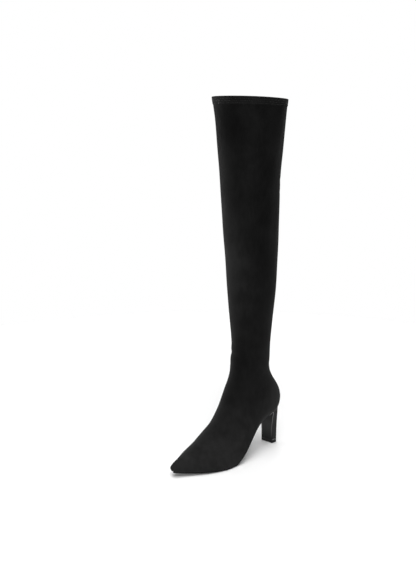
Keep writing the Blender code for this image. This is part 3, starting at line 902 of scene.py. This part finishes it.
def column_piece(name, rings, top, material):
    """A piece of rings, closed by shrinking its end rings to their middles: on the level below,
    and at the heights that top gives above."""
    caps = []
    for ring, heights, shares in ((rings[0], level, CAP_SHARES),
                                  (rings[-1], top, CAP_SHARES[::-1])):
        middle = ring.mean(axis=0)
        cap = np.array([middle + share * (ring - middle) for share in shares])
        for flat in cap:
            flat[:, 2] = heights(flat)
        caps.append(cap)
    rings = np.concatenate([caps[0], rings, caps[1]])
    faces = grid_faces(len(rings), rings.shape[1], wrap=True)[:, ::-1]
    return make_piece(name, rings, faces, material)


def heel_rings():
    """Rings of the heel: sizes on fair curves through HEEL, the topmost lifted to the sole."""
    row = np.linspace(0, len(HEEL) - 1, HEEL_RINGS)
    numbers = np.arange(len(HEEL))
    height, back, front, half, corner = np.moveaxis(curve(numbers, HEEL, row, fair=True), -1, 0)
    x, station = rounded_plan(back, front, half, corner)
    at_top = curve(numbers, (numbers == numbers[-1]).astype(float), row)[:, None]
    height = height[:, None] + at_top * (underside(station) - GAP - HEEL[-1, 0])
    return row_frame(x, station, height)


# Painted highlights: the lacquer is made paler beside the tip and along both front corners,
# and above the line turns in below the seat. Columns: distance from the middle of the heel,
# station, height, paleness.
PAINTED_HIGHLIGHT_LINE = np.array([
    (0.0129, 0.0040, 0.0064, 0.40), (0.0129, 0.0080, 0.0064, 0.60),
    (0.0129, 0.0135, 0.0064, 0.90), (0.0124, 0.0147, 0.0064, 0.50),
    (0.0116, 0.0147, 0.0064, 0.00),
    (0.0101, 0.0147, 0.0080, 0.00), (0.0107, 0.0148, 0.0166, 0.20),
    (0.0114, 0.0151, 0.0283, 0.35), (0.0123, 0.0153, 0.0362, 0.45),
    (0.0137, 0.0155, 0.0441, 0.50), (0.0146, 0.0159, 0.0501, 0.50),
    (0.0157, 0.0163, 0.0552, 0.60), (0.0165, 0.0168, 0.0594, 0.80),
    (0.0169, 0.0184, 0.0618, 1.00), (0.0160, 0.0196, 0.0605, 0.90),
    (0.0145, 0.0200, 0.0588, 0.70), (0.0122, 0.0194, 0.0565, 0.50),
    (0.0090, 0.0180, 0.0536, 0.35), (0.0074, 0.0174, 0.0519, 0.00),
])
LINE_WIDTH = 0.0006
BREAST_PAINTED_REFLECTION = 0.09      # painted reflection on the flat front of the heel, most at the height BREAST_MIDDLE
BREAST_MIDDLE = 0.033
BREAST_SPREAD = 0.020
BREAST_FROM = 0.9           # share of the heel's depth from which the front counts


def heel_painted_highlights(points):
    """Paleness of the lacquer, all of it painted highlight and reflection: along
    PAINTED_HIGHLIGHT_LINE its own, falling off beside it as exp(-(distance / LINE_WIDTH)^2), and
    on the front a soft patch of painted reflection over the height."""
    station = SEAT_BACK - points[:, 1]
    where = np.stack([np.abs(points[:, 0] - HEEL_LINE), station, points[:, 2]], axis=1)
    line = np.zeros(len(points))
    for start, end in zip(PAINTED_HIGHLIGHT_LINE[:-1], PAINTED_HIGHLIGHT_LINE[1:]):
        way = (end - start)[:3]
        share = share_of((where - start[:3]) @ way, way @ way)
        beside = np.linalg.norm(where - start[:3] - share[:, None] * way, axis=1)
        highlight_tone = start[3] + share * (end - start)[3]
        line = np.maximum(line, highlight_tone * np.exp(-(beside / LINE_WIDTH)**2))
    row = np.linspace(0, len(HEEL) - 1, 2 * HEEL_RINGS)
    height, back, front = curve(np.arange(len(HEEL)), HEEL, row, fair=True)[:, :3].T
    back, front = (np.interp(points[:, 2], height, edge) for edge in (back, front))
    ahead = (station - back) / (front - back)
    patch = BREAST_PAINTED_REFLECTION * np.exp(-((points[:, 2] - BREAST_MIDDLE) / BREAST_SPREAD)**2)
    return line + patch * share_of(ahead - BREAST_FROM, 1 - BREAST_FROM)


def lacquer_material(name, dark, highlight_tone):
    """Gloss lacquer over moulded plastic: faint orange peel, fine wiping scratches and a clear
    coat; the colour pales with the attribute paleness, which is painted highlight and reflection."""
    material, tree, place = new_material(name, {
        "IOR": 1.08, "Coat Weight": 0.35, "Coat Roughness": 0.06, "Coat IOR": 1.25})
    peel = value_noise(tree, place, 320, 2, "orange_peel")
    wiped = value_noise(tree, stretched(tree, place, (1, 1, 0.08)), 900, 3, "wiped")
    cloud = value_noise(tree, place, 45, 3, "cloud")
    painted_highlight = tree.nodes.new("ShaderNodeAttribute")
    painted_highlight.attribute_name = "painted_highlight"
    clouded = blend_colours(tree, cloud, toned(dark, 0.8), toned(dark, 1.2))
    return finished(
        material, blend_colours(tree, painted_highlight.outputs["Fac"], clouded, highlight_tone),
        remap(tree, wiped, 0.3, 0.75, 0.12, 0.26), add_bump(tree, peel, 0.05, 0.0002))


lacquer = lacquer_material("black_gloss_lacquer", grey(0.0085), grey(0.26))
heel = column_piece("lacquered_heel", heel_rings(), under_sole, lacquer)
# the heel's painted highlights and painted reflection
tone_points(heel, "painted_highlight", heel_painted_highlights)
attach(heel, "root")
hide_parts("heel_block")

# ---- Heel tip ----------------------------------------------------------------------------
# Hard rubber wearing piece, cut to the plan of the heel's lower end and pinned up into it, with
# its upper and lower edges slightly rounded.
TIP_ROUND = 0.0004          # radius of its edges
tip_top = TIP_HEIGHT - GAP
quarter = np.array([(TIP_ROUND, 0.0), (MID_ROUND * TIP_ROUND, MID_ROUND * TIP_ROUND),
                    (0.0, TIP_ROUND)])
# inset and height: the lower edge, the middle, and the lower edge turned over for the upper one
tip_rows = [*quarter, (0.0, TIP_HEIGHT / 2), *((0, tip_top) + (1, -1) * quarter[::-1])]
inset, tip_height = np.array(tip_rows).T
x, station = rounded_plan(HEEL[0, 1] + inset, HEEL[0, 2] - inset, HEEL[0, 3] - inset,
                          HEEL[0, 4] - inset)
tip_rubber = rubber_material("black_tip_rubber", grey(0.009), grey(0.020), 0.38)
heel_tip = column_piece("heel_top_piece", row_frame(x, station, tip_height[:, None]), level,
                        tip_rubber)
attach(heel_tip, "root")
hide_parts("heel_tip")

# ---- Floor, light and camera -------------------------------------------------------------
# A white paper floor under a broad ceiling of light. Four strips stand near the floor around the
# boot, with two high soft boxes, two small overheads and one low fill at the outer side.
FLOOR_RADIUS = 1.1
rim_turn = np.linspace(0, 2 * np.pi, 96, endpoint=False)
rim_points = FLOOR_RADIUS * np.stack([np.cos(rim_turn), np.sin(rim_turn), 0 * rim_turn], axis=-1)
floor_mesh = bpy.data.meshes.new("floor")
floor_mesh.from_pydata(rim_points.tolist(), [], [list(range(len(rim_points)))])
floor = new_object("floor", floor_mesh)
floor_mesh.materials.append(new_material("white_paper", {
    "Base Color": (0.93, 0.93, 0.93, 1), "Roughness": 1.0, "Specular IOR Level": 0.0})[0])

CEILING_COSINE = 0.75       # the ceiling of light starts at this cosine off the zenith
CEILING_EDGE = 0.10         # and grows from dark to full over this further cosine
CEILING_STRENGTH = 1.3
BACKDROP_STRENGTH = 1.0     # of the white seen past the floor

world = bpy.data.worlds.new("studio")
world.use_nodes = True
sky = world.node_tree
upward = sky.nodes.new("ShaderNodeSeparateXYZ")
sky.links.new(sky.nodes.new("ShaderNodeTexCoord").outputs["Generated"], upward.inputs["Vector"])
ceiling = remap(sky, upward.outputs["Z"], CEILING_COSINE, CEILING_COSINE + CEILING_EDGE,
                0, CEILING_STRENGTH)
backdrop = sky.nodes.new("ShaderNodeMix")
sky.links.new(sky.nodes.new("ShaderNodeLightPath").outputs["Is Camera Ray"],
              backdrop.inputs["Factor"])
sky.links.new(ceiling, backdrop.inputs["A"])
backdrop.inputs["B"].default_value = BACKDROP_STRENGTH
sky.links.new(backdrop.outputs["Result"], sky.nodes["Background"].inputs["Strength"])
sky.nodes["Background"].inputs["Color"].default_value = (1, 1, 1, 1)
bpy.context.scene.world = world
bpy.context.scene.view_settings.view_transform = "Standard"


def add_light(name, place, target, size, power):
    """A rectangular soft light turned towards a point; the light itself stays out of sight."""
    data = bpy.data.lights.new(name, "AREA")
    data.shape = "RECTANGLE"
    data.size, data.size_y = size
    data.energy = power
    light = new_object(name, data)
    light.location = place
    light.visible_camera = False
    way = Vector(target) - Vector(place)
    light.rotation_euler = way.to_track_quat("-Z", "Y").to_euler()


MID_SHAFT = (0, 0, 0.25)
LOW_SHAFT = (0, 0, 0.20)
FOREFOOT = (0, -0.03, 0.06)
WAIST = (0, 0.03, 0.06)
STRIP, SOFT_BOX, OVERHEAD, LOW_FILL = (1.0, 0.22), (1.0, 1.0), (0.4, 0.4), (0.5, 0.12)
for light in (
        ("strip_left", (-2.176, -0.321, 0.13), LOW_SHAFT, STRIP, 63.6),
        ("strip_back", (-1.511, 1.599, 0.13), LOW_SHAFT, STRIP, 30),
        ("strip_right", (0.443, 2.155, 0.13), LOW_SHAFT, STRIP, 16.8),
        ("strip_front", (-0.062, -2.199, 0.13), LOW_SHAFT, STRIP, 20.8),
        ("soft_box_front", (1.068, -1.131, 1.806), MID_SHAFT, SOFT_BOX, 21.4),
        ("soft_box_back", (-1.068, 1.131, 1.806), MID_SHAFT, SOFT_BOX, 8.8),
        ("overhead_toe", (0.15, -0.35, 1.3), FOREFOOT, OVERHEAD, 1.2),
        ("overhead_heel", (0.25, 0, 1.3), WAIST, OVERHEAD, 3.07),
        ("low_right", (0.62, -0.05, 0.08), FOREFOOT, LOW_FILL, 1.31)):
    add_light(*light)

camera_data = bpy.data.cameras.new("camera")
camera_data.lens = 54.35
camera = new_object("camera", camera_data)
camera.location = (0.9400, -1.0362, 0.5891)
camera.rotation_euler = (math.radians(90 - 11.22), 0, math.radians(43.40))
bpy.context.scene.camera = camera
